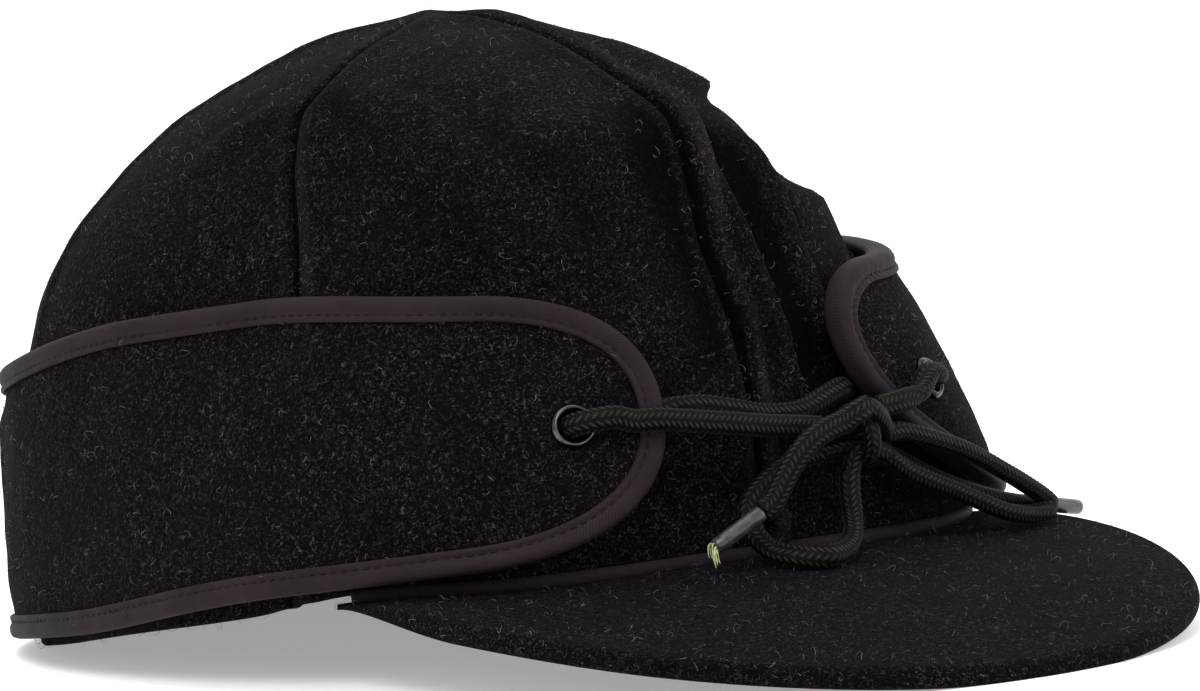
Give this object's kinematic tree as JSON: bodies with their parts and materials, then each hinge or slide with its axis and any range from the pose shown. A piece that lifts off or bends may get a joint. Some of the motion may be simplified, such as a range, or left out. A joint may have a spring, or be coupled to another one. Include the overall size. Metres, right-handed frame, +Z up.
{
  "type": "wool cap",
  "caption": "Soft panelled wool cap with a curved stiff visor, a piped ear band round the back and sides, and a braided lace tied in a bow through metal eyelets.",
  "frame": {"origin": "bottom centre of the cap's box, the lace left out, where it rests on its visor and its back edge", "axes": "+Z up, -Y towards the visor, +X towards the wearer's left"},
  "size_m": [0.193, 0.28, 0.128],
  "materials": {
    "crown": "matt felted wool",
    "visor": "matt felted wool",
    "visor_welt": "matt bias tape",
    "ear_band": "matt felted wool",
    "band_piping": "matt bias tape",
    "eyelet_right": "dark polished",
    "eyelet_left": "dark polished",
    "lace_across": "matt braid",
    "bow_knot": "matt braid",
    "bow_loop_right": "matt braid",
    "bow_loop_left": "matt braid",
    "bow_tail_right": "matt braid",
    "bow_tail_left": "matt braid",
    "aglet_right": "glossy",
    "aglet_left": "glossy"
  },
  "bodies": {
    "root": {"crown": "crown", "visor": "visor", "visor_welt": "visor_welt", "ear_band": "ear_band", "band_piping": "band_piping", "eyelet_right": "eyelet_right", "eyelet_left": "eyelet_left", "lace_across": "lace_across", "bow_knot": "bow_knot", "bow_loop_right": "bow_loop_right", "bow_loop_left": "bow_loop_left", "bow_tail_right": "bow_tail_right", "bow_tail_left": "bow_tail_left", "aglet_right": "aglet_right", "aglet_left": "aglet_left"}
  },
  "joints": []
}
